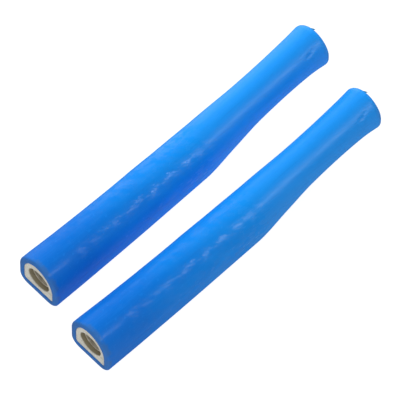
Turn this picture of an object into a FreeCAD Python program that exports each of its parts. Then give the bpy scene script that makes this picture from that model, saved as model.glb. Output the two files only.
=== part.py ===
"""Focus training sticks: a pair of padded foam sticks with an arched section, a flat
underside, an open mouth that shows the foam core, and a slimmer grip with a pommel.

The frame has +Z up, +Y from the mouths towards the pommels and the origin in the middle of
the pair, at the height of the surface that the sticks lie on. All lengths are millimetres.
"""

import FreeCAD
import Part
import Sketcher
import math
import os
from FreeCAD import Placement, Rotation, Vector

doc = FreeCAD.newDocument("focus_training_sticks")
sizes = doc.addObject("Spreadsheet::Sheet", "sizes")

STICKS = {"left_stick": -1, "right_stick": 1}

DRIVING = {
    "stick_length": 442.0,          # mouth plane to pommel end
    "stick_spacing": 101.0,         # centre line to centre line
    "stick_stagger": 13.5,          # how far the right stick lies towards the mouths
    "flare_length": 60.0,           # mouth to where the flared rim has died out
    "grip_length": 200.0,           # heel of the blade to the pommel end
    "neck_back": 155.0,             # this and the next three: distance to the pommel end
    "throat_back": 110.0,
    "waist_back": 68.0,
    "swell_back": 30.0,
    "arch_ratio": 1.1,              # height of the arch over half width
    "crown_ratio": 0.82,            # crown radius over half width
    "rim_radius": 3.5,              # rounding of the mouth's outer edge
    "pommel_radius": 10.0,          # rounding of the pommel's end
    "cover_thickness": 1.2,
    "side_wall": 7.5,               # outside to the core, at the sides
    "crown_wall": 7.0,              # outside to the core, at the crown
    "floor_wall": 9.0,              # outside to the core, at the underside
    "core_setback": 1.5,            # mouth plane to the core's front face
    "core_side_wall": 5.0,          # least foam between the bore and the core's outside
    "core_floor": 6.5,              # foam between the bore and the core's underside
    "tube_setback": 7.5,            # mouth plane to the front end of the tube
    "tube_wall": 2.0,
    "tube_in_grip": 35.0,           # how far the tube runs on past the core
    "plug_depth": 12.0,
    "nib_radius": 1.3,
    "nib_length": 7.0,              # its tip is level with the pommel's end
    "nib_drop": 4.0,                # crown of the pommel down to the nib
    "nib_aside": 4.0,               # centre line to the nib
}

# Each station of the outside: half width, height of underside and of crown, corner radius.
# The blade is drawn a little below the level that it lies on, and is then cut off there.
STATIONS = {
    "mouth": (31.0, -0.4, 69.5, 14.5),
    "flare": (30.5, -0.4, 64.0, 12.0),
    "blade": (29.5, -0.4, 61.0, 11.0),
    "heel": (28.5, -0.4, 61.5, 12.0),
    "neck": (27.0, 9.5, 64.0, 15.0),
    "throat": (25.0, 18.0, 67.0, 18.0),
    "waist": (24.5, 23.0, 71.5, 19.0),
    "swell": (25.3, 26.0, 76.0, 19.0),
    "pommel": (26.5, 24.5, 77.5, 19.0),
}
PROPERTIES = ("half_width", "underside", "crown", "corner")

BLADE_RUN = ("mouth", "flare", "blade", "heel")
GRIP_RUN = ("heel", "neck", "throat", "waist", "swell", "pommel")


def fill_sheet():
    """Write every driving size into the sheet, one alias to a row."""
    cells = dict(DRIVING)
    for station, values in STATIONS.items():
        for name, value in zip(PROPERTIES, values):
            cells[f"{station}_{name}"] = value
    for row, (alias, value) in enumerate(cells.items(), 1):
        sizes.set(f"A{row}", alias)
        sizes.set(f"B{row}", str(value))
        sizes.setAlias(f"B{row}", alias)
    doc.recompute()


# Where each station lies along the stick, from the mouth plane, as sheet expressions.
PLACES = {
    "mouth": "0",
    "flare": "sizes.flare_length",
    "blade": "(sizes.stick_length - sizes.grip_length + sizes.flare_length) / 2",
    "heel": "sizes.stick_length - sizes.grip_length",
    "neck": "sizes.stick_length - sizes.neck_back",
    "throat": "sizes.stick_length - sizes.throat_back",
    "waist": "sizes.stick_length - sizes.waist_back",
    "swell": "sizes.stick_length - sizes.swell_back",
    "pommel": "sizes.stick_length",
}


def number(expression):
    """The value of a sheet expression, for geometry that starts near its solved place."""
    return float(sizes.evalExpression(expression.replace("sizes.", "")))


def origin_plane(body, role):
    return next(f for f in body.Origin.OriginFeatures if f.Role == role)


def new_sketch(body, name, place):
    """A sketch across the stick: local x is +X, local y is +Z, at `place` along +Y."""
    sketch = body.newObject("Sketcher::SketchObject", name)
    sketch.AttachmentSupport = [(origin_plane(body, "XZ_Plane"), "")]
    sketch.MapMode = "FlatFace"
    sketch.setExpression(".AttachmentOffset.Base.z", f"-({place})")
    return sketch


def arch_sketch(body, name, station, place, layer):
    """The arched section of one station, brought in from the outside by the layer's walls."""
    side, roof, floor = layer
    wide = f"sizes.{station}_half_width - ({side})"
    under = f"sizes.{station}_underside + ({floor})"
    top = f"sizes.{station}_crown - ({roof})"
    corner = f"sizes.{station}_corner - ({side})"
    spring = f"sizes.{station}_crown - sizes.arch_ratio * sizes.{station}_half_width"
    crown = f"({wide}) * sizes.crown_ratio"
    a, z0, z1, rc, zs, rk = (number(e) for e in (wide, under, top, corner, spring, crown))
    dome = z1 - rk - zs
    shoulder = (a * a + dome * dome - rk * rk) / (2 * (a - rk))
    lean = math.atan2(dome, shoulder - a)
    out = Vector(0, 0, 1)
    low = Vector(a - rc, z0 + rc, 0)
    high = Vector(a - shoulder, zs, 0)
    top_centre = Vector(0, z1 - rk, 0)
    mirror = lambda point: Vector(-point.x, point.y, 0)
    sketch = new_sketch(body, name, place)
    half_pi = math.pi / 2
    sketch.addGeometry([
        Part.LineSegment(Vector(-(a - rc), z0, 0), Vector(a - rc, z0, 0)),
        Part.ArcOfCircle(Part.Circle(low, out, rc), -half_pi, 0),
        Part.LineSegment(Vector(a, z0 + rc, 0), Vector(a, zs, 0)),
        Part.ArcOfCircle(Part.Circle(high, out, shoulder), 0, lean),
        Part.ArcOfCircle(Part.Circle(top_centre, out, rk), lean, math.pi - lean),
        Part.ArcOfCircle(Part.Circle(mirror(high), out, shoulder), math.pi - lean, math.pi),
        Part.LineSegment(Vector(-a, zs, 0), Vector(-a, z0 + rc, 0)),
        Part.ArcOfCircle(Part.Circle(mirror(low), out, rc), math.pi, math.pi + half_pi),
    ], False)
    con = Sketcher.Constraint
    sketch.addConstraint([
        con("Tangent", 0, 2, 1, 1),
        con("Tangent", 1, 2, 2, 1),
        con("Tangent", 2, 2, 3, 1),
        con("Tangent", 3, 2, 4, 1),
        con("Tangent", 4, 2, 5, 1),
        con("Tangent", 5, 2, 6, 1),
        con("Tangent", 6, 2, 7, 1),
        con("Tangent", 7, 2, 0, 1),
        con("Vertical", 2),
        con("Symmetric", 0, 1, 0, 2, -2),
        con("Symmetric", 2, 2, 6, 1, -2),
        con("PointOnObject", 4, 3, -2),
        con("Equal", 1, 7),
    ])
    driving = [
        (con("DistanceX", -1, 1, 2, 2, a), "half_width", wide),
        (con("DistanceY", -1, 1, 0, 2, z0), "underside", under),
        (con("DistanceY", -1, 1, 2, 2, zs), "spring", spring),
        (con("DistanceY", -1, 1, 4, 3, z1 - rk), "crown_centre", f"{top} - {crown}"),
        (con("Radius", 1, rc), "corner", corner),
        (con("Radius", 4, rk), "crown_radius", crown),
    ]
    for constraint, title, expression in driving:
        index = sketch.addConstraint(constraint)
        sketch.renameConstraint(index, title)
        sketch.setExpression(f"Constraints.{title}", expression)
    return sketch


OUTSIDE = ("0", "0", "0")
UNDER_COVER = ("sizes.cover_thickness",) * 3
CORE = ("sizes.side_wall", "sizes.crown_wall", "sizes.floor_wall")

HEEL = PLACES["heel"]
NARROWEST = "min(sizes.blade_half_width; sizes.heel_half_width)"
LOWEST = "min(sizes.blade_crown; sizes.heel_crown)"
BORE_RADIUS = (
    f"min({NARROWEST} - sizes.side_wall - sizes.core_side_wall;"
    f" ({LOWEST} - sizes.crown_wall - sizes.floor_wall"
    " - sizes.core_floor - sizes.core_side_wall) / 2)"
)
BORE_HEIGHT = f"sizes.floor_wall + sizes.core_floor + ({BORE_RADIUS})"


def edges_across(shape, along):
    """Names of the edges that lie in the plane across the stick at `along`."""
    flat = 0.01
    return [f"Edge{index}" for index, edge in enumerate(shape.Edges, 1)
            if abs(edge.BoundBox.YMin - along) < flat
            and abs(edge.BoundBox.YMax - along) < flat]


def add_loft(body, name, run, places, layer):
    sections = [arch_sketch(body, f"{name}_{station}", station, places[station], layer)
                for station in run]
    loft = body.newObject("PartDesign::AdditiveLoft", f"{name}_loft")
    loft.Profile = sections[0]
    loft.Sections = sections[1:]
    doc.recompute()


def add_rounding(body, name, along, radius):
    """Round the outline of one end of the stick."""
    base = body.Tip
    fillet = body.newObject("PartDesign::Fillet", name)
    fillet.Base = (base, edges_across(base.Shape, number(along)))
    fillet.setExpression("Radius", radius)
    doc.recompute()


def padded_form(name, layer, skin):
    """The whole stick as one solid, brought in by `skin` all round and at both ends."""
    places = dict(PLACES, mouth=skin, pommel=f"{PLACES['pommel']} - {skin}")
    body = doc.addObject("PartDesign::Body", name)
    add_loft(body, f"{name}_blade", BLADE_RUN, places, layer)
    add_loft(body, f"{name}_grip", GRIP_RUN, places, layer)
    add_rounding(body, f"{name}_rim", skin, f"sizes.rim_radius - {skin}")
    add_rounding(body, f"{name}_end", places["pommel"], f"sizes.pommel_radius - {skin}")
    return body


def cut_level(name, form, height):
    """The form cut off flat at `height`, so that the blade lies on a true plane."""
    below = doc.addObject("Part::Box", f"{name}_below")
    below.setExpression("Length", "4 * sizes.mouth_half_width")
    below.setExpression("Width", "2 * sizes.stick_length")
    below.setExpression("Height", "sizes.mouth_crown")
    below.setExpression(".Placement.Base.x", "-2 * sizes.mouth_half_width")
    below.setExpression(".Placement.Base.y", "-sizes.stick_length / 2")
    below.setExpression(".Placement.Base.z", f"{height} - sizes.mouth_crown")
    return boolean("Cut", f"{name}_level", form, below)


def core_form(name):
    """The space that the core takes up, from the mouth plane to the heel of the blade."""
    body = doc.addObject("PartDesign::Body", name)
    add_loft(body, name, BLADE_RUN, PLACES, CORE)
    return body


def rod(name, start, length, radius):
    """A round rod along +Y on the axis of the bore."""
    cylinder = doc.addObject("Part::Cylinder", name)
    cylinder.Placement = Placement(Vector(), Rotation(Vector(1, 0, 0), -90))
    cylinder.setExpression(".Placement.Base.y", start)
    cylinder.setExpression(".Placement.Base.z", BORE_HEIGHT)
    cylinder.setExpression("Height", length)
    cylinder.setExpression("Radius", radius)
    return cylinder


def boolean(kind, name, base, tool):
    result = doc.addObject(f"Part::{kind}", name)
    result.Base = base
    result.Tool = tool
    return result


def cover(stick, outside, filling, core_space):
    """The dipped skin, turned in over the rim, with the moulding nib on the pommel."""
    shell = boolean("Cut", f"{stick}_shell", outside, filling)
    skin = boolean("Cut", f"{stick}_skin", shell, core_space)
    peg = doc.addObject("Part::Cylinder", f"{stick}_peg")
    peg.Placement = Placement(Vector(), Rotation(Vector(1, 0, 0), -90))
    peg.setExpression(".Placement.Base.x", "-sizes.nib_aside")
    peg.setExpression(".Placement.Base.y", "sizes.stick_length - sizes.nib_length")
    peg.setExpression(".Placement.Base.z", "sizes.pommel_crown - sizes.nib_drop")
    peg.setExpression("Height", "sizes.nib_length")
    peg.setExpression("Radius", "sizes.nib_radius")
    nib = boolean("Cut", f"{stick}_nib", peg, filling)
    return boolean("Fuse", f"{stick}_cover", skin, nib)


def padding(stick, filling, core_space):
    """The blue foam: a thick sleeve round the core, solid in the grip but for the tube."""
    sleeve = boolean("Cut", f"{stick}_sleeve", filling, core_space)
    socket = rod(f"{stick}_socket", HEEL, "sizes.tube_in_grip", BORE_RADIUS)
    return boolean("Cut", f"{stick}_padding", sleeve, socket)


def core(stick, core_space):
    """The white foam core, set back from the mouth plane and bored for the tube."""
    front = doc.addObject("Part::Box", f"{stick}_front")
    front.setExpression("Length", "4 * sizes.mouth_half_width")
    front.setExpression("Width", "sizes.core_setback")
    front.setExpression("Height", "2 * sizes.mouth_crown")
    front.setExpression(".Placement.Base.x", "-2 * sizes.mouth_half_width")
    block = boolean("Cut", f"{stick}_block", core_space, front)
    bore = rod(f"{stick}_bore", "0", HEEL, BORE_RADIUS)
    return boolean("Cut", f"{stick}_core", block, bore)


def round_sketch(body, name, place, radii):
    """Circles on the axis of the bore."""
    sketch = new_sketch(body, name, place)
    con = Sketcher.Constraint
    for title, expression in radii.items():
        radius = number(expression)
        centre = Vector(0, number(BORE_HEIGHT), 0)
        circle = sketch.addGeometry(Part.Circle(centre, Vector(0, 0, 1), radius), False)
        sketch.addConstraint(con("PointOnObject", circle, 3, -2))
        height = sketch.addConstraint(con("DistanceY", -1, 1, circle, 3, centre.y))
        wide = sketch.addConstraint(con("Radius", circle, radius))
        sketch.renameConstraint(height, f"{title}_height")
        sketch.renameConstraint(wide, f"{title}_radius")
        sketch.setExpression(f"Constraints.{title}_height", BORE_HEIGHT)
        sketch.setExpression(f"Constraints.{title}_radius", expression)
    return sketch


def add_pad(body, name, sketch, length):
    """Pad a sketch along +Y, which is against its normal."""
    pad = body.newObject("PartDesign::Pad", name)
    pad.Profile = sketch
    pad.Reversed = True
    pad.setExpression("Length", length)
    doc.recompute()


def tube(stick):
    """The stiff tube that lines the bore and runs on into the grip."""
    body = doc.addObject("PartDesign::Body", f"{stick}_tube")
    inside = f"{BORE_RADIUS} - sizes.tube_wall"
    radii = {"outer": BORE_RADIUS, "inner": inside}
    sketch = round_sketch(body, f"{stick}_tube_ring", "sizes.tube_setback", radii)
    add_pad(body, f"{stick}_tube_pad", sketch, f"{HEEL} + sizes.tube_in_grip - sizes.tube_setback")
    return body


def plug(stick):
    """The push-in disc that closes the tube at the mouth."""
    body = doc.addObject("PartDesign::Body", f"{stick}_tube_plug")
    radii = {"outer": f"{BORE_RADIUS} - sizes.tube_wall"}
    sketch = round_sketch(body, f"{stick}_plug_disc", "sizes.tube_setback", radii)
    add_pad(body, f"{stick}_plug_pad", sketch, "sizes.plug_depth")
    return body


def build_stick(stick, side):
    """One stick's pieces, each put in its place in the pair."""
    skin = "sizes.cover_thickness"
    moulded = padded_form(f"{stick}_outside", OUTSIDE, "0")
    foamed = padded_form(f"{stick}_filling", UNDER_COVER, skin)
    outside = cut_level(f"{stick}_outside", moulded, "0")
    filling = cut_level(f"{stick}_filling", foamed, skin)
    core_space = core_form(f"{stick}_core_space")
    pieces = [
        cover(stick, outside, filling, core_space),
        padding(stick, filling, core_space),
        core(stick, core_space),
        tube(stick),
        plug(stick),
    ]
    middle = "-sizes.stick_length / 2"
    for piece in pieces:
        piece.Label = piece.Name
        piece.setExpression(".Placement.Base.x", f"{side} * sizes.stick_spacing / 2")
        piece.setExpression(".Placement.Base.y", f"{middle} - {side} * sizes.stick_stagger / 2")
    doc.recompute()
    return pieces


def check_document():
    """Stop before anything is written if the document holds a failed object."""
    for item in doc.Objects:
        bad = {"Invalid", "Error"} & set(item.State)
        if bad:
            raise RuntimeError(f"{item.Name} is {bad}")


def write_pieces(pieces):
    os.makedirs("parts", exist_ok=True)
    for piece in pieces:
        shape = piece.Shape
        if shape.isNull() or not shape.isValid() or not shape.Solids:
            raise RuntimeError(f"{piece.Label} has no valid solid")
        shape.exportStep(f"parts/{piece.Label}.step")
        print(piece.Label, len(shape.Solids), round(shape.Volume / 1000, 2), "cm3")


fill_sheet()
all_pieces = []
for stick_name, stick_side in STICKS.items():
    all_pieces += build_stick(stick_name, stick_side)
check_document()
write_pieces(all_pieces)
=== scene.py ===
import math
import bpy
import numpy as np
from mathutils import Matrix, Vector


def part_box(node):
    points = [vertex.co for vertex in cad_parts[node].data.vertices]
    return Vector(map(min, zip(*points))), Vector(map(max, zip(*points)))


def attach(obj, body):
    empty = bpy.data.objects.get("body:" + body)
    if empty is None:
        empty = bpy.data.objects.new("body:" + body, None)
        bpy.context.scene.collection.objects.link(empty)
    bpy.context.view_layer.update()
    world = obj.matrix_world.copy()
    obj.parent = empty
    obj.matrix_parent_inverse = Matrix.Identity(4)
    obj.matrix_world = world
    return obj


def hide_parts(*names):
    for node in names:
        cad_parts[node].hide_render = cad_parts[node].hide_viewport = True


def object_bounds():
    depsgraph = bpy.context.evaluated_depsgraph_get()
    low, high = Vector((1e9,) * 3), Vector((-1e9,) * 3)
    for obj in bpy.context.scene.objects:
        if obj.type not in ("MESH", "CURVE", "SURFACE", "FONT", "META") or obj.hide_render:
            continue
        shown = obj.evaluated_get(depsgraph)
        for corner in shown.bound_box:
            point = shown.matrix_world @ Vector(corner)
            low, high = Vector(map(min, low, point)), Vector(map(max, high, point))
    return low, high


# Focus training sticks: two foam sticks dipped in blue vinyl, in metres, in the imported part's frame.
# +Y runs from the open mouths to the pommels, +Z is up, and the undersides lie at z = 0.
# Lengths in the pieces' dictionaries are millimetres, measured from the middle of the stick's
# mouth, at its underside.

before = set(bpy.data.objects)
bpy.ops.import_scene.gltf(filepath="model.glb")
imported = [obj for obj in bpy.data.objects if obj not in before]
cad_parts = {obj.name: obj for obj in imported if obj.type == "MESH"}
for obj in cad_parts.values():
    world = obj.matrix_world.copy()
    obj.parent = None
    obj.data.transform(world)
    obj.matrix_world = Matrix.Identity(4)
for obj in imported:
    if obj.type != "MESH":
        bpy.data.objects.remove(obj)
cadLow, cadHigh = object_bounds()
sticks = ("left_stick", "right_stick")
mm = 0.001
quarter = math.pi / 2
print("frame loaded,", len(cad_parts), "nodes")


# The outside of a stick, station by station. Both sticks are the same.
outside = {
    "place": (0, 60, 151, 242, 287, 332, 374, 412, 442),
    "halfWidth": (31.3, 30.8, 29.9, 28.7, 27.0, 25.0, 24.5, 25.4, 27.9),
    "underside": (0, 0, 0, 0, 9.5, 18.0, 23.0, 26.0, 24.5),
    "crown": (68.4, 62.9, 60.8, 61.5, 64.0, 67.0, 71.3, 75.8, 79.2),
    "corner": (14.5, 12.0, 11.0, 12.0, 15.0, 18.0, 19.0, 19.0, 19.0),
    "archRatio": 1.1,           # height of the arch over the half width
    "crownRatio": 0.82,         # crown radius over the half width
    "around": (10, 12, 8, 22, 20),   # points on half a floor, corner, side, shoulder, crown
}
noInset = (0.0, 0.0, 0.0)


# A station value at the distances y: Hermite cubics between the stations, each slope the harmonic
# mean of its neighbours' rises, or level where the value turns, so nothing swings past a station.
def stationValue(name, y):
    places = np.array(outside["place"], float)
    values = np.array(outside[name], float)
    gap = np.diff(places)
    rise = np.diff(values) / gap
    slope = np.zeros(len(places))
    same = rise[:-1] * rise[1:] > 0
    total = np.where(same, rise[:-1] + rise[1:], 1)
    slope[1:-1] = np.where(same, 2 * rise[:-1] * rise[1:] / total, 0)
    slope[0], slope[-1] = rise[0], rise[-1]
    y = np.clip(y, places[0], places[-1])
    i = np.clip(np.searchsorted(places, y, side="right") - 1, 0, len(places) - 2)
    s = (y - places[i]) / gap[i]
    level = values[i] * (1 + 2 * s) * (1 - s) ** 2 + values[i + 1] * s * s * (3 - 2 * s)
    return level + gap[i] * (slope[i] * s * (1 - s) ** 2 + slope[i + 1] * s * s * (s - 1))


# Closed arch outlines, one for each distance y, drawn inside the outside by inset (side, crown,
# floor). Each runs from the middle of the floor: floor, corner arc, upright side, a shoulder arc
# that leans in, a crown arc that meets it without a kink, and the mirror of these back down.
# shoulderDrop lowers the point where the side ends, which cuts the shoulders rounder.
def archRings(y, inset, corner, shoulderDrop=0.0):
    y, side, crownIn, floorIn, corner, drop = (
        np.array(q)[:, None] for q in np.broadcast_arrays(
            *(np.atleast_1d(np.asarray(q, float)) for q in (y, *inset, corner, shoulderDrop))))
    full = stationValue("halfWidth", y)
    outerTop = stationValue("crown", y)
    half = full - side
    low = stationValue("underside", y) + floorIn
    top = outerTop - crownIn
    spring = outerTop - outside["archRatio"] * full - drop
    crownRadius = half * outside["crownRatio"]
    dome = top - crownRadius - spring
    shoulder = (half ** 2 + dome ** 2 - crownRadius ** 2) / (2 * (half - crownRadius))
    lean = np.arctan2(dome, shoulder - half)
    onFloor, onCorner, onSide, onShoulder, onCrown = (
        np.arange(points)[None, :] / points for points in outside["around"])
    turn = quarter * onCorner
    bend = lean * onShoulder
    tip = lean + (quarter - lean) * onCrown
    zero = 0 * half
    x = np.hstack([(half - corner) * onFloor,
                   half - corner + corner * np.sin(turn),
                   half + zero * onSide,
                   half - shoulder + shoulder * np.cos(bend),
                   crownRadius * np.cos(tip)])
    z = np.hstack([low + zero * onFloor,
                   low + corner - corner * np.cos(turn),
                   low + corner + (spring - low - corner) * onSide,
                   spring + shoulder * np.sin(bend),
                   top - crownRadius + crownRadius * np.sin(tip)])
    x = np.hstack([x, zero, -x[:, :0:-1]])
    z = np.hstack([z, top, z[:, :0:-1]])
    return np.stack([x, y + 0 * x, z], -1)


# The same outline at each of the distances y: the section stays that of the mouth.
def straightRings(y, inset, corner, shoulderDrop=0.0):
    rings = archRings(0 * y, inset, corner, shoulderDrop)
    rings[..., 1] = y[:, None]
    return rings


# Circles about a line along the stick at height z, one for each radius and distance, with their
# points at the angles of `like`, so that they join an arch outline without twisting.
def circleRings(radius, y, z, like):
    angle = np.arctan2(like[:, 2] - z, like[:, 0])
    radius = np.asarray(radius, float)[:, None]
    y = np.asarray(y, float)[:, None]
    return np.stack([radius * np.cos(angle), y + 0 * radius * angle,
                     z + radius * np.sin(angle)], -1)


# Rings that close an end: copies of the last ring that shrink evenly towards its middle, and
# swell along the stick by `dome` times one less the square of their size.
def capRings(ring, dome, count):
    size = np.linspace(1, 0, count + 2)[1:-1, None, None]
    middle = ring.mean(0)
    cap = middle + (ring - middle) * size
    cap[..., 1] += dome * (1 - size[..., 0] ** 2)
    return cap, middle + np.array([0, dome, 0])


# Unevenness in millimetres: a sum of sine waves whose directions and phases come from the seed.
# Each layer gives its wavelength, its height, how many times longer it is along the stick, and
# its number of waves.
def unevenness(points, layers, seed):
    draw = np.random.default_rng(seed)
    total = np.zeros(points.shape[:-1])
    for wavelength, height, stretch, waves in layers:
        ways = draw.normal(size=(waves, 3))
        ways /= np.linalg.norm(ways, axis=1, keepdims=True)
        ways *= 2 * math.pi / wavelength * np.array([1, 1 / stretch, 1])
        phases = draw.uniform(0, 2 * math.pi, waves)
        for way, phase in zip(ways, phases):
            total += height / math.sqrt(waves) * np.sin(points @ way + phase)
    return total


# Outward directions in a ring's own plane: along the stick crossed with the step between the
# neighbouring points.
def outwards(rings):
    step = np.roll(rings, -1, 1) - np.roll(rings, 1, 1)
    out = np.stack([step[..., 2], 0 * step[..., 0], -step[..., 0]], -1)
    return out / (np.linalg.norm(out, axis=-1, keepdims=True) + 1e-9)


# 1 inside the band from low to high, falling smoothly to 0 over `soft` about each end.
def band(value, low, high, soft):
    rise = np.clip((value - low) / soft + 0.5, 0, 1)
    fall = np.clip((high - value) / soft + 0.5, 0, 1)
    return rise * rise * (3 - 2 * rise) * fall * fall * (3 - 2 * fall)


# The middle of a stick's mouth at its underside, in metres.
def mouthMiddle(stick):
    low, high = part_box(f"{stick}_cover")
    return np.array([(low[0] + high[0]) / 2, low[1], low[2]])


# A closed surface through rings of equal length, riding the stick. Quads join neighbouring rings,
# and either a fan closes each end on its pole or, without poles, the last ring joins the first.
def ringPiece(name, rings, stick, material, nodeName, poles=None):
    count, around, _ = rings.shape
    points = rings.reshape(-1, 3)
    ringShaped = poles is None
    i = np.arange(count if ringShaped else count - 1)[:, None]
    j = np.arange(around)[None, :]
    after, beside = (i + 1) % count, (j + 1) % around
    quads = np.stack([i * around + j, i * around + beside,
                      after * around + beside, after * around + j], -1)
    faces = quads.reshape(-1, 4).tolist()
    if not ringShaped:
        first = np.arange(around)
        second = (first + 1) % around
        start = np.full(around, len(points))
        last = (count - 1) * around
        faces += np.stack([second, first, start], -1).tolist()
        faces += np.stack([last + first, last + second, start + 1], -1).tolist()
        points = np.vstack([points, poles])
    mesh = bpy.data.meshes.new(name)
    place = points * mm
    mesh.from_pydata((place + mouthMiddle(stick)).tolist(), [], faces)
    own = mesh.attributes.new("ownPlace", "FLOAT_VECTOR", "POINT")
    own.data.foreach_set("vector", place.astype(np.float32).ravel())
    mesh.shade_smooth()
    mesh.materials.append(material)
    piece = bpy.data.objects.new(name, mesh)
    bpy.context.scene.collection.objects.link(piece)
    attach(piece, stick)
    if nodeName:
        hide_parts(f"{stick}_{nodeName}")
    return piece


# Materials. Every pattern reads ownPlace, a point's place on its own stick in metres.

def newMaterial(name):
    material = bpy.data.materials.new(name)
    material.use_nodes = True
    tree = material.node_tree
    return material, tree, tree.nodes["Principled BSDF"]


def addNode(tree, kind, inputs=None, **settings):
    made = tree.nodes.new(kind)
    for key, value in settings.items():
        setattr(made, key, value)
    for key, value in (inputs or {}).items():
        if isinstance(value, bpy.types.NodeSocket):
            tree.links.new(value, made.inputs[key])
        else:
            made.inputs[key].default_value = value
    return made


# The place, for patterns that are `stretch` times longer along each axis, with the axes turned
# by `turn`, in radians.
def placeOn(tree, stretch=(1, 1, 1), turn=(0, 0, 0)):
    source = addNode(tree, "ShaderNodeAttribute", attribute_name="ownPlace")
    mapping = addNode(tree, "ShaderNodeMapping", {
        "Vector": source.outputs["Vector"], "Scale": stretch, "Rotation": turn},
        vector_type="TEXTURE")
    return mapping.outputs["Vector"]


# Cloud noise from 0 to 1. `size` is the width of its patches in millimetres.
def clouds(tree, size, stretch=(1, 1, 1), turn=(0, 0, 0), detail=3.0, roughness=0.5, distortion=0.0):
    made = addNode(tree, "ShaderNodeTexNoise", {
        "Vector": placeOn(tree, stretch, turn), "Scale": 1 / (size * mm), "Detail": detail,
        "Roughness": roughness, "Distortion": distortion})
    return made.outputs["Fac"]


def makePatterns(tree, patterns):
    return {name: clouds(tree, **settings) for name, settings in patterns.items()}


# A smooth step from start, where the value is low, to end, where it is high.
def ease(tree, value, low, high, start=0.0, end=1.0):
    made = addNode(tree, "ShaderNodeMapRange", {
        "Value": value, "From Min": low, "From Max": high, "To Min": start, "To Max": end},
        interpolation_type="SMOOTHSTEP")
    return made.outputs["Result"]


# Cloud noise turned into a value that drifts between low and high.
def drift(tree, cloud, low, high):
    return ease(tree, cloud, *cloudSpan, low, high)


def times(tree, one, two):
    return addNode(tree, "ShaderNodeMath", {0: one, 1: two}, operation="MULTIPLY").outputs[0]


def plus(tree, one, two):
    return addNode(tree, "ShaderNodeMath", {0: one, 1: two}, operation="ADD").outputs[0]


def distanceAlong(tree):
    return addNode(tree, "ShaderNodeSeparateXYZ", {0: placeOn(tree)}).outputs["Y"]


def asInput(colour):
    return colour if isinstance(colour, bpy.types.NodeSocket) else (*colour, 1)


def blendColour(tree, amount, one, two):
    made = addNode(tree, "ShaderNodeMix", {0: amount, 6: asInput(one), 7: asInput(two)},
                   data_type="RGBA")
    return made.outputs[2]


def relief(tree, height, strength, depth, before=None):
    inputs = {"Height": height, "Strength": strength, "Distance": depth * mm}
    if before is not None:
        inputs["Normal"] = before
    return addNode(tree, "ShaderNodeBump", inputs).outputs["Normal"]


cloudSpan = (0.3, 0.7)          # nearly all cloud noise lies between these

vinyl = {
    # the mouth and pommel blues are a painted shading along the stick: dark at the mouth, light at the
    # pommel
    "blues": {                  # at the mouth, at the pommel, at the rim
        "dippedVinyl": ((0.004, 0.160, 0.650), (0.006, 0.290, 0.890), (0.045, 0.160, 0.430)),
        "dripVinyl": ((0.008, 0.150, 0.270), (0.008, 0.190, 0.350), (0.008, 0.150, 0.270)),
    },
    "rubbed": (0.020, 0.280, 0.860),
    "roughness": 0.5,
    "specular": 0.05,
    "patterns": {
        "cloud": {"size": 40, "stretch": (1, 2, 1)},
        "streak": {"size": 3.0, "stretch": (1, 33, 1)},
        "spot": {"size": 4.5, "stretch": (1, 1.7, 1), "turn": (0, 0, 0.5), "detail": 4,
                 "roughness": 0.6},
        "rim": {"size": 14},
        "grain": {"size": 0.45, "detail": 2},
        "scuff": {"size": 7.5, "stretch": (1, 2.2, 1), "turn": (0, 0, -0.5), "roughness": 0.6},
        "gloss": {"size": 6, "stretch": (1, 2.5, 1), "detail": 4},
        "wave": {"size": 26.0, "stretch": (1, 1.3, 1), "turn": (0, 0, 0.4), "detail": 1},
        "crease": {"size": 4.0, "stretch": (1, 2.6, 1), "turn": (0, 0, -0.6), "detail": 2,
                   "distortion": 0.5},
    },
    # each blend: the value it starts and ends at, and how much it blends there
    "paleStreaks": (0.5, 0.75, 0, 0.16),
    "deepStreaks": (0.45, 0.25, 0, 0.22),
    "spots": (0.60, 0.72, 0, 0.30),
    "scuffs": (0.53, 0.43, 0, 1),
    "creases": (0.35, 0.65, 0, 1),
    # blends along the stick, in metres from the mouth
    # painted shading along the stick, from the dark mouth blue to the light pommel blue
    "paintedShadeAlong": (0.0, 0.33, 0, 1),
    "rimDulled": (0.008, 0.001, 0, 0.75),
    "bladeStarts": (0.015, 0.055, 0, 1),
    "bladeEnds": (0.29, 0.22, 0.12, 1),      # a little of the creasing stays on the grip
    "glossAlong": (0.0, 0.30, 0.30, 1),      # the film reflects less at the mouth
    "glossRoughness": (0.20, 0.30, 0.23, 0.38),
    # how far the edge of the painted shading wanders along the stick, in metres
    "paintedShadeDrift": 0.03,
    "rimDrift": 0.003,
    "glossDrift": 0.05,
    "gloss": 0.46,              # how strongly the film reflects where it's smooth
    "scuffedGloss": 0.04,
    "creaseDepth": 0.17,
    "waveDepth": 2.0,
    "grainDepth": 0.018,
}


# The film: its strength, its blur and its own relief over the grain.
def filmOn(tree, shader, pattern, along, onBlade, grain):
    scuffed = times(tree, ease(tree, pattern["scuff"], *vinyl["scuffs"]), onBlade)
    gloss = times(tree, ease(tree, scuffed, 0, 1, vinyl["gloss"], vinyl["scuffedGloss"]),
                  ease(tree, along, *vinyl["glossAlong"]))
    tree.links.new(gloss, shader.inputs["Coat Weight"])
    blur = plus(tree, ease(tree, along, *vinyl["glossRoughness"]),
                drift(tree, pattern["gloss"], -vinyl["glossDrift"], vinyl["glossDrift"]))
    tree.links.new(blur, shader.inputs["Coat Roughness"])
    crease = ease(tree, pattern["crease"], *vinyl["creases"])
    film = relief(tree, times(tree, pattern["wave"], onBlade), 1.0, vinyl["waveDepth"], grain)
    film = relief(tree, times(tree, crease, onBlade), 1.0, vinyl["creaseDepth"], film)
    tree.links.new(film, shader.inputs["Coat Normal"])
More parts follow.
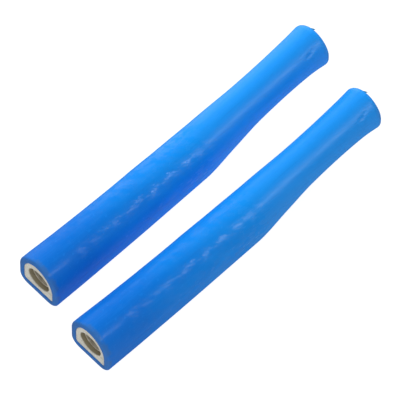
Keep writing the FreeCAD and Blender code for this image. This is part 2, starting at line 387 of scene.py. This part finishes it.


# Dipped vinyl: a painted shading along the stick, the blue painted darker at the mouth and lighter
# towards the pommel, and dull at the rim. Long faint drain streaks, soft clouds and rubbed spots. The
# glossy film over it is creased, wavy and scuffed dull in patches on the blade, and nearly smooth on
# the grip.
def dippedVinyl(name, mouthBlue, pommelBlue, rimBlue):
    material, tree, shader = newMaterial(name)
    along = distanceAlong(tree)
    pattern = makePatterns(tree, vinyl["patterns"])
    streak = pattern["streak"]
    # painted shading: the blue goes from dark at the mouth to light at the pommel
    paintedShadeAlong = plus(tree, along,
                   drift(tree, pattern["cloud"], -vinyl["paintedShadeDrift"], vinyl["paintedShadeDrift"]))
    ragged = plus(tree, along, drift(tree, pattern["rim"], -vinyl["rimDrift"], vinyl["rimDrift"]))
    blue = blendColour(tree, ease(tree, paintedShadeAlong, *vinyl["paintedShadeAlong"]), mouthBlue, pommelBlue)
    blue = blendColour(tree, ease(tree, streak, *vinyl["paleStreaks"]), blue, vinyl["rubbed"])
    blue = blendColour(tree, ease(tree, streak, *vinyl["deepStreaks"]), blue, mouthBlue)
    blue = blendColour(tree, ease(tree, ragged, *vinyl["rimDulled"]), blue, rimBlue)
    blue = blendColour(tree, ease(tree, pattern["spot"], *vinyl["spots"]), blue, vinyl["rubbed"])
    tree.links.new(blue, shader.inputs["Base Color"])
    shader.inputs["Roughness"].default_value = vinyl["roughness"]
    shader.inputs["Specular IOR Level"].default_value = vinyl["specular"]
    grain = relief(tree, pattern["grain"], 1.0, vinyl["grainDepth"])
    tree.links.new(grain, shader.inputs["Normal"])
    onBlade = times(tree, ease(tree, along, *vinyl["bladeStarts"]),
                    ease(tree, along, *vinyl["bladeEnds"]))
    filmOn(tree, shader, pattern, along, onBlade, grain)
    return material


foam = {
    # each kind: its cells' middles, their walls, soiled patches, the painted shade inside the bore,
    # and cell size
    "kinds": {
        "whiteFoam": ((0.80, 0.78, 0.72), (0.60, 0.58, 0.50), (0.52, 0.50, 0.40),
                      (0.21, 0.18, 0.11), 0.9),
        "blueFoam": ((0.03, 0.24, 0.66), (0.01, 0.13, 0.46), (0.01, 0.11, 0.38),
                     (0.01, 0.13, 0.46), 0.7),
    },
    "patterns": {
        "saw": {"size": 1.1, "stretch": (8, 1, 1), "turn": (0, 0.4, 0), "detail": 2},
        "soil": {"size": 9},
    },
    # each blend: the value it starts and ends at, and how much it blends there
    "walls": (0.15, 0.75, 0, 1),
    "sawLines": (0.4, 0.75, 0, 0.35),
    "soiling": (0.45, 0.72, 0, 0.8),
    # painted shade: the foam darkens from about 2 mm behind the mouth, for the shade inside the bore
    "paintedBoreShade": (0.0018, 0.0034, 0, 0.95),  # in metres from the mouth
    "wallRelief": (0.7, 0.35),  # strength and depth
    "sawRelief": (0.6, 0.35),
    "roughness": 0.9,
    "specular": 0.2,
}


# Cut foam: a mosaic of tiny cells, faint saw lines across it, soiled in patches, and a painted shade
# that darkens it from about 2 mm behind the mouth, where the bore lies in shade.
def cutFoam(name, light, dark, soiled, shade, cell):
    material, tree, shader = newMaterial(name)
    pattern = makePatterns(tree, foam["patterns"])
    saw, soil = pattern["saw"], pattern["soil"]
    cells = addNode(tree, "ShaderNodeTexVoronoi", {
        "Vector": placeOn(tree), "Scale": 1 / (cell * mm)}).outputs["Distance"]
    tint = blendColour(tree, ease(tree, cells, *foam["walls"]), light, dark)
    tint = blendColour(tree, ease(tree, saw, *foam["sawLines"]), tint, dark)
    tint = blendColour(tree, ease(tree, soil, *foam["soiling"]), tint, soiled)
    # painted shade inside the bore, past a few millimetres from the mouth
    tint = blendColour(tree, ease(tree, distanceAlong(tree), *foam["paintedBoreShade"]), tint, shade)
    tree.links.new(tint, shader.inputs["Base Color"])
    shader.inputs["Roughness"].default_value = foam["roughness"]
    shader.inputs["Specular IOR Level"].default_value = foam["specular"]
    normal = relief(tree, cells, *foam["wallRelief"])
    normal = relief(tree, saw, *foam["sawRelief"], normal)
    tree.links.new(normal, shader.inputs["Normal"])
    return material


plastic = {
    "kinds": {                  # light, dark, roughness
        "tubePlastic": ((0.66, 0.62, 0.54), (0.42, 0.38, 0.29), 0.5),
        # the plug's olive colours are darkened as painted shade for the deep floor of the bore
        "plugPlastic": ((0.36, 0.32, 0.25), (0.14, 0.12, 0.08), 0.6),
    },
    "patterns": {
        "drawn": {"size": 1.6, "stretch": (1, 20, 1)},
        "patch": {"size": 8},
        "grain": {"size": 0.5, "detail": 2},
    },
    "lines": (0.45, 0.7, 0, 0.4),   # the noise they start and end at, and how much they blend
    "lineRelief": (0.5, 0.08),      # strength and depth
    "grainRelief": (0.6, 0.03),
    "wear": 0.08,                   # how far the roughness strays from patch to patch
}


# Moulded plastic: drawn lines along it, faint cloudy patches and a fine matt grain.
def mouldedPlastic(name, light, dark, rough):
    material, tree, shader = newMaterial(name)
    pattern = makePatterns(tree, plastic["patterns"])
    drawn, patch = pattern["drawn"], pattern["patch"]
    tint = blendColour(tree, drift(tree, patch, 0, 1), light, dark)
    tint = blendColour(tree, ease(tree, drawn, *plastic["lines"]), tint, dark)
    tree.links.new(tint, shader.inputs["Base Color"])
    worn = drift(tree, patch, rough - plastic["wear"], rough + plastic["wear"])
    tree.links.new(worn, shader.inputs["Roughness"])
    normal = relief(tree, drawn, *plastic["lineRelief"])
    normal = relief(tree, pattern["grain"], *plastic["grainRelief"], normal)
    tree.links.new(normal, shader.inputs["Normal"])
    return material


skin, dripVinyl = (dippedVinyl(name, *blues) for name, blues in vinyl["blues"].items())
whiteFoam, blueFoam = (cutFoam(name, *kind) for name, kind in foam["kinds"].items())
tubePlastic, plugPlastic = (mouldedPlastic(name, *kind) for name, kind in plastic["kinds"].items())
print("materials made")


cover = {
    "length": 442.0,
    "thickness": 1.2,
    "rimRadius": 3.5,           # rounding of the mouth's outer edge
    "lipRadius": 1.2,           # rounding where the lip turns into the mouth
    "lipSwell": 0.5,            # how far the lip bulges between the two
    "lipDepth": 6.0,            # where the skin ends inside the mouth
    "coreInset": (7.5, 7.8, 9.0),    # outside to the core: side, crown, floor
    "coreCorner": 4.0,
    "coreDrop": 5.0,            # the core's shoulders are cut rounder than the outside
    "pommelRadius": 8.8,
    "pommelDome": 0.6,
    "ringStep": 1.6,
    "innerStep": 8.0,
    "outerPommelRings": 16,
    "innerPommelRings": 10,
    "rimRings": 12,
    "faceRings": 9,
    "rollRings": 6,
    "deepRings": 5,
    "unevenness": ((45, 0.07, 2.5, 6), (140, 0.22, 1.5, 4)),
    "unevenSeed": 7,
    "clearOfFloor": (6, 200, 12),    # heights from, to and softness of the unevenness
    "clearOfEnds": 8,
    "creases": ((13, 0.03, 1.3, 12), (30, 0.12, 1.7, 8)),
    "creaseSeed": 11,
    "creaseRun": (75, 270, 40),      # distances along, from, to and softness
    "creaseHeights": (30, 200, 30),
    # each dent: its place x and y, half width, half length and depth
    "dents": ((14.5, 422.0, 1.3, 2.6, 0.75), (16.5, 415.5, 1.5, 4.5, 0.90),
              (15.5, 336.6, 1.2, 1.8, 0.22), (23.5, 323.0, 1.5, 2.5, 0.25)),
    "dentsAbove": 40,
    "softEnd": 12,
    "turnRings": 4,             # from the lip's end out to under the skin
    "innerStart": 6,            # where the inner rings begin past the lip's end
    "pommelGap": 3,             # where they stop before the pommel's round
    "drawBackFrom": 6,          # past the start of the pommel's round
}
pastEverything = 1e4


# The pommel's end, inset by `thickness`: a quarter round of the pommel's radius whose rings also
# follow the stations, and a cap that swells by the dome.
def pommelEnd(thickness, count):
    radius = cover["pommelRadius"]
    start = cover["length"] - cover["pommelDome"] - radius
    turn = np.linspace(0, quarter, count)
    y = start + (radius - thickness) * np.sin(turn)
    sink = thickness + (radius - thickness) * (1 - np.cos(turn))
    rounded = archRings(y, (sink, sink, sink), stationValue("corner", y) - sink)
    cap, pole = capRings(rounded[-1], cover["pommelDome"], count)
    return np.vstack([rounded, cap]), pole, start


# The same end for what lies under the outside, also drawn back from the end face by `thickness`.
def innerPommelEnd(thickness, count):
    end, pole, start = pommelEnd(thickness, count)
    end[..., 1] -= thickness * band(
        end[..., 1], start + cover["drawBackFrom"], pastEverything, cover["softEnd"])
    return end, pole - np.array([0, thickness, 0]), start


# The core's outline at the mouth.
def coreOutline():
    return straightRings(np.zeros(1), cover["coreInset"], cover["coreCorner"],
                         cover["coreDrop"])[0]


# The skin's outer face from the pole at the pommel to the rim, a quarter round over the rim, a
# lip that bulges as half a sine, a quarter round into the mouth, and a short way along the core.
def coverOuter():
    end, pole, start = pommelEnd(0.0, cover["outerPommelRings"])
    rim, lip = cover["rimRadius"], cover["lipRadius"]
    inset = np.array(cover["coreInset"])
    mouthCorner = float(stationValue("corner", 0.0))
    y = np.linspace(start, rim, int((start - rim) / cover["ringStep"]))[1:-1]
    body = archRings(y, noInset, stationValue("corner", y))
    turn = np.linspace(0, quarter, cover["rimRings"])
    y, sink = rim * (1 - np.sin(turn)), rim * (1 - np.cos(turn))
    rounded = archRings(y, (sink, sink, sink), stationValue("corner", y) - sink)
    across = np.linspace(0, 1, cover["faceRings"])[1:]
    side, crownIn, floorIn = (rim + across * (q - lip - rim) for q in inset)
    corner = mouthCorner - rim + across * (cover["coreCorner"] + lip - mouthCorner + rim)
    face = straightRings(-cover["lipSwell"] * np.sin(math.pi * across), (side, crownIn, floorIn),
                         corner, cover["coreDrop"] * across)
    turn = np.linspace(0, quarter, cover["rollRings"])[1:]
    back = lip * (1 - np.sin(turn))
    roll = straightRings(lip * (1 - np.cos(turn)), tuple(q - back for q in inset),
                         cover["coreCorner"] + back, cover["coreDrop"])
    deep = np.linspace(lip, cover["lipDepth"], cover["deepRings"])[1:]
    inner = straightRings(deep, cover["coreInset"], cover["coreCorner"], cover["coreDrop"])
    return np.vstack([end[::-1], body, rounded, face, roll, inner]), pole


# The skin's inner face: out from the end of the lip to one thickness under the outside, then
# along the stick to the pommel.
def coverInner():
    thin = cover["thickness"]
    inset = np.array(cover["coreInset"])
    out = np.linspace(0, 1, cover["turnRings"])[1:]
    mouthCorner = float(stationValue("corner", 0.0))
    corner = cover["coreCorner"] + out * (mouthCorner - thin - cover["coreCorner"])
    turned = straightRings(0 * out + cover["lipDepth"], tuple(q + out * (thin - q) for q in inset),
                           corner, cover["coreDrop"] * (1 - out))
    end, pole, start = innerPommelEnd(thin, cover["innerPommelRings"])
    y = np.arange(cover["lipDepth"] + cover["innerStart"], start - cover["pommelGap"],
                  cover["innerStep"])
    body = archRings(y, (thin, thin, thin), stationValue("corner", y) - thin)
    return np.vstack([turned, body, end]), pole


# The skin as one closed shell. The outer face gets its unevenness, the blade's creases and a few
# dents, each a bell-shaped hollow on the crown, pushed along the outward directions.
def makeCover(stick):
    outer, pole = coverOuter()
    inner, innerPole = coverInner()
    x, y, z = outer[..., 0], outer[..., 1], outer[..., 2]
    onBlade = band(y, *cover["creaseRun"]) * band(z, *cover["creaseHeights"])
    push = unevenness(outer, cover["unevenness"], cover["unevenSeed"])
    push *= band(z, *cover["clearOfFloor"])
    push += unevenness(outer, cover["creases"], cover["creaseSeed"]) * onBlade
    for dentX, dentY, halfWide, halfLong, depth in cover["dents"]:
        bell = np.exp(-((x - dentX) / halfWide) ** 2 - ((y - dentY) / halfLong) ** 2)
        push -= depth * bell * (z > cover["dentsAbove"])
    ends = cover["clearOfEnds"]
    push *= band(y, ends, cover["length"] - ends, cover["softEnd"])
    outer = outer + outwards(outer) * push[..., None]
    return ringPiece(f"{stick}Skin", np.vstack([outer, inner]), stick, skin, "cover",
                     np.stack([pole, innerPole]))


nib = {
    "start": (-6.5, 434.0, 73.2),
    "reach": 10.2,              # length along its bent line
    "bend": 1.0,                # how far it has turned towards +X at the tip, in radians
    "radius": (2.4, 2.4, 2.3, 2.0, 1.6, 1.2, 0.85, 0.55, 0.25),
    "around": 24,
    "spacing": 0.8,             # below 1, the circles stand closer towards the tip
    "tip": 0.2,
}


# The drip left where the stick hung: circles that narrow to a point, carried along a line that
# leaves along +Y and bends evenly towards +X, a circular arc.
def makeNib(stick):
    turn = nib["bend"] * np.linspace(0, 1, len(nib["radius"])) ** nib["spacing"]
    bendRadius = nib["reach"] / nib["bend"]
    sine, cosine, zero = np.sin(turn), np.cos(turn), 0 * turn
    ahead = np.stack([sine, cosine, zero], -1)
    across = np.stack([cosine, -sine, zero], -1)
    line = np.array(nib["start"]) + bendRadius * np.stack([1 - cosine, sine, zero], -1)
    angle = np.linspace(0, 2 * math.pi, nib["around"], endpoint=False)[None, :, None]
    size = np.array(nib["radius"])[:, None, None]
    upright = np.array([0, 0, 1])
    rings = line[:, None] + size * (across[:, None] * np.cos(angle) + upright * np.sin(angle))
    tip = line[-1] + nib["tip"] * ahead[-1]
    return ringPiece(f"{stick}Nib", rings[:, ::-1], stick, dripVinyl, None,
                     np.stack([line[0], tip]))


core = {
    "front": 1.5,
    "back": 242.0,
    "gap": 0.05,
    "edge": 0.5,                # rounding of its cut edges
    "boreRadius": 16.0,
    "boreHeight": 31.5,
    "boreFlare": (1.5, 1.6),    # how much wider the bore is at its front, and over what depth
    "alongRings": 60,
    "edgeRings": 5,
    "faceRings": 9,
    "unevenness": ((9, 0.10, 1.0, 8), (22, 0.12, 1.0, 6)),
    "unevenSeed": 5,
    "unevenRun": (-9, 20, 12),  # distances along, from, to and softness
    "unevenAlong": 0.6,         # shares of it along the stick and into the bore
    "unevenBore": 0.9,
}


# The white core: the core's outline from its front to the heel of the blade, across the back face
# to the bore, forward along the bore and across the front face, closed on itself.
def makeCore(stick):
    edge, gap = core["edge"], core["gap"]
    turn = np.linspace(0, quarter, core["edgeRings"])
    softY, softIn = edge * (1 - np.sin(turn)), edge * (1 - np.cos(turn))
    run = np.linspace(core["front"] + edge, core["back"] - edge, core["alongRings"])[1:-1]
    y = np.concatenate([(core["front"] + softY)[::-1], run, core["back"] - softY])
    sink = gap + np.concatenate([softIn[::-1], 0 * run, softIn])
    inset = tuple(q + sink for q in cover["coreInset"])
    outer = archRings(y, inset, cover["coreCorner"] - sink, cover["coreDrop"])
    wider, depth = core["boreFlare"]
    flare = wider * np.exp(-(y - core["front"]) / depth)
    bore = circleRings(core["boreRadius"] + flare + sink - gap, y, core["boreHeight"],
                       coreOutline())
    across = np.linspace(0, 1, core["faceRings"])[1:-1, None, None]
    back = outer[-1] + (bore[-1] - outer[-1]) * across
    front = bore[0] + (outer[0] - bore[0]) * across
    rings = np.vstack([outer, back, bore[::-1], front])
    ragged = unevenness(rings, core["unevenness"], core["unevenSeed"])
    ragged *= band(rings[..., 1], *core["unevenRun"])
    rings[..., 1] += core["unevenAlong"] * ragged
    inner = slice(len(outer) + len(back), len(outer) + len(back) + len(bore))
    rings[inner] -= outwards(bore[::-1]) * core["unevenBore"] * ragged[inner, :, None]
    return ringPiece(f"{stick}Core", rings[:, ::-1], stick, whiteFoam, "core")


padding = {
    "front": 6.2,
    "gap": 0.1,
    "heel": 242.0,
    "socketEnd": 277.0,
    "socketRings": 10,
    "socketCapRings": 4,
    "aroundCoreRings": 50,
    "outerRings": 110,
    "stepRings": 6,
    "pommelRings": 10,
}


# The blue foam body under the skin: out of the tube's socket, over the core's outline to the
# mouth end, and back under the skin to the pommel, closed on the middle of both ends.
def makePadding(stick):
    gap = padding["gap"]
    under = cover["thickness"] + gap
    y = np.linspace(padding["socketEnd"], padding["heel"] + gap, padding["socketRings"])
    socket = circleRings(core["boreRadius"] + gap + 0 * y, y, core["boreHeight"], coreOutline())
    socketEnd, socketPole = capRings(socket[0], 0.0, padding["socketCapRings"])
    y = np.linspace(padding["heel"] + gap, padding["front"], padding["aroundCoreRings"])
    aroundCore = archRings(y, tuple(q - gap + 0 * y for q in cover["coreInset"]),
                           cover["coreCorner"] + gap, cover["coreDrop"])
    end, pole, start = innerPommelEnd(under, padding["pommelRings"])
    y = np.linspace(padding["front"], start - cover["pommelGap"], padding["outerRings"])
    outer = archRings(y, (under, under, under), stationValue("corner", y) - under)
    across = np.linspace(0, 1, padding["stepRings"])[1:-1, None, None]
    step = socket[-1] + (aroundCore[0] - socket[-1]) * across
    face = aroundCore[-1] + (outer[0] - aroundCore[-1]) * across
    rings = np.vstack([socketEnd[::-1], socket, step, aroundCore, face, outer, end])
    return ringPiece(f"{stick}Foam", rings[:, ::-1], stick, blueFoam, "padding",
                     np.stack([socketPole, pole]))


tube = {
    "front": 7.5,
    "back": 277.0,
    "radius": 15.9,
    "wall": 1.95,
    "chamfer": 0.4,
    "alongRings": 24,
    "around": 96,
}

plug = {
    "depth": 12.0,
    "dish": 0.8,
    "gap": 0.03,                # to the tube
    "frontShares": (0.15, 0.3, 0.45, 0.6, 0.75, 0.88),     # of the radius, as are the back's
    "backShares": (0.6, 0.3),
    "frontEdge": ((0.5, 0.2), (0.15, 0.4), (0.0, 0.9)),    # how far in and how far back
    "backEdge": 0.6,
}


# Turned pieces: a profile of radius and distance, carried round the bore's centre line.
def turnedRings(profile):
    radius, y = np.array(profile).T
    angle = np.linspace(0, 2 * math.pi, tube["around"], endpoint=False)
    like = np.stack([np.cos(angle), 0 * angle, np.sin(angle) + core["boreHeight"]], -1)
    return circleRings(radius, y, core["boreHeight"], like)


# The stiffening tube: out, along and back inside, with a chamfer on all four edges.
def makeTube(stick):
    outerRadius, chamfer = tube["radius"], tube["chamfer"]
    innerRadius = outerRadius - tube["wall"]
    front, back = tube["front"], tube["back"]
    along = np.linspace(front + chamfer, back - chamfer, tube["alongRings"])
    profile = [(outerRadius - chamfer, front), *((outerRadius, y) for y in along),
               (outerRadius - chamfer, back), (innerRadius + chamfer, back),
               *((innerRadius, y) for y in along[::-1]), (innerRadius + chamfer, front)]
    return ringPiece(f"{stick}Tube", turnedRings(profile)[:, ::-1], stick, tubePlastic,
                     "tube")


# The plug that closes the tube: a disc with a shallow dish in front and rounded edges.
def makePlug(stick):
    radius = tube["radius"] - tube["wall"] - plug["gap"]
    front, dish, edge = tube["front"], plug["dish"], plug["backEdge"]
    back = front + plug["depth"]
    profile = [*((radius * s, front + dish * (1 - s * s)) for s in plug["frontShares"]),
               *((radius - inwards, front + deep) for inwards, deep in plug["frontEdge"]),
               (radius, front + plug["depth"] / 2), (radius, back - edge), (radius - edge, back),
               *((radius * s, back) for s in plug["backShares"])]
    middle = core["boreHeight"]
    poles = np.array([[0, front + dish, middle], [0, back, middle]])
    return ringPiece(f"{stick}Plug", turnedRings(profile)[:, ::-1], stick, plugPlastic,
                     "tube_plug", poles)


for stick in sticks:
    skinPiece = makeCover(stick)
    makeNib(stick)
    corePiece = makeCore(stick)
    foamPiece = makePadding(stick)
    makeTube(stick)
    makePlug(stick)
    print(stick, "made,", len(skinPiece.data.polygons), "faces in its skin")


studio = {
    "azimuth": 46.5,            # degrees
    "elevation": 62.2,
    "distance": 12.0,           # metres, as all lengths here
    "viewWidth": 0.4603,
    "aimRight": -0.0038,
    "aimUp": -0.00845,
    "lens": 900.0,              # millimetres
    "clipEnd": 100,
    "floor": (0.20, 0.20, 0.20),
    "floorGlow": 0.93,
    "floorReach": 6.0,
    "floorDrop": 0.0002,
    "sky": 0.20,
}
white = (1, 1, 1, 1)

lights = (
    # name, towards it, distance, width, length, power, colour, on matt surfaces, in gloss
    ("wide", (-0.62, 0.50, 0.66), 1.8, 1.6, 1.6, 27, (1.0, 1.0, 1.0), True, False),
    ("above", (0.28, -0.42, 0.86), 1.8, 1.3, 1.3, 17, (1.0, 1.0, 1.0), True, False),
    ("strip", (0.690, 0.321, 0.650), 1.5, 0.20, 1.8, 12, (0.90, 0.97, 1.0), False, True),
    ("edge", (-0.90, 0.42, 0.04), 1.6, 1.4, 1.8, 11, (0.93, 0.97, 1.0), True, True),
)


# A plain pale floor just under the sticks that glows evenly, as a light table does. It isn't seen
# in the gloss.
def makeFloor():
    reach, height = studio["floorReach"], -studio["floorDrop"]
    corners = ((-reach, -reach), (reach, -reach), (reach, reach), (-reach, reach))
    mesh = bpy.data.meshes.new("floor")
    mesh.from_pydata([(x, y, height) for x, y in corners], [], [(0, 1, 2, 3)])
    material, _, shader = newMaterial("paleFloor")
    shader.inputs["Base Color"].default_value = (*studio["floor"], 1)
    shader.inputs["Roughness"].default_value = 1.0
    shader.inputs["Specular IOR Level"].default_value = 0.0
    shader.inputs["Emission Color"].default_value = white
    shader.inputs["Emission Strength"].default_value = studio["floorGlow"]
    mesh.materials.append(material)
    floor = bpy.data.objects.new("floor", mesh)
    bpy.context.scene.collection.objects.link(floor)
    floor.visible_glossy = False


# A soft box that stands off along `way` and faces the middle, its length as near to +Y as it can.
def softBox(name, way, distance, width, length, power, colour, onMatt, inGloss):
    light = bpy.data.lights.new(name, "AREA")
    light.shape = "RECTANGLE"
    light.size = width
    light.size_y = length
    light.energy = power
    light.color = colour
    holder = bpy.data.objects.new(name, light)
    away = Vector(way).normalized()
    across = Vector((0, 1, 0)).cross(away).normalized()
    turned = Matrix((across, away.cross(across), away)).transposed()
    holder.matrix_world = Matrix.Translation(away * distance) @ turned.to_4x4()
    holder.visible_diffuse = onMatt
    holder.visible_glossy = inGloss
    bpy.context.scene.collection.objects.link(holder)


# A very long lens from far off, so that the two sticks look parallel.
def makeCamera():
    azimuth, elevation = math.radians(studio["azimuth"]), math.radians(studio["elevation"])
    right = Vector((math.cos(azimuth), math.sin(azimuth), 0))
    back = Vector((math.sin(azimuth) * math.cos(elevation),
                   -math.cos(azimuth) * math.cos(elevation), math.sin(elevation)))
    up = back.cross(right)
    middle = (Vector(cadLow) + Vector(cadHigh)) / 2
    aim = middle + right * studio["aimRight"] + up * studio["aimUp"]
    data = bpy.data.cameras.new("camera")
    data.lens = studio["lens"]
    data.sensor_width = data.lens * studio["viewWidth"] / studio["distance"]
    data.clip_end = studio["clipEnd"]
    camera = bpy.data.objects.new("camera", data)
    camera.location = aim + back * studio["distance"]
    camera.rotation_euler = back.to_track_quat("Z", "Y").to_euler()
    bpy.context.scene.collection.objects.link(camera)
    bpy.context.scene.camera = camera


makeFloor()
makeCamera()
for entry in lights:
    softBox(*entry)
world = bpy.data.worlds.new("studioWorld")
world.use_nodes = True
background = world.node_tree.nodes["Background"]
background.inputs["Color"].default_value = white
background.inputs["Strength"].default_value = studio["sky"]
bpy.context.scene.world = world
bpy.context.scene.view_settings.view_transform = "Standard"
print("floor, lights and camera ready")
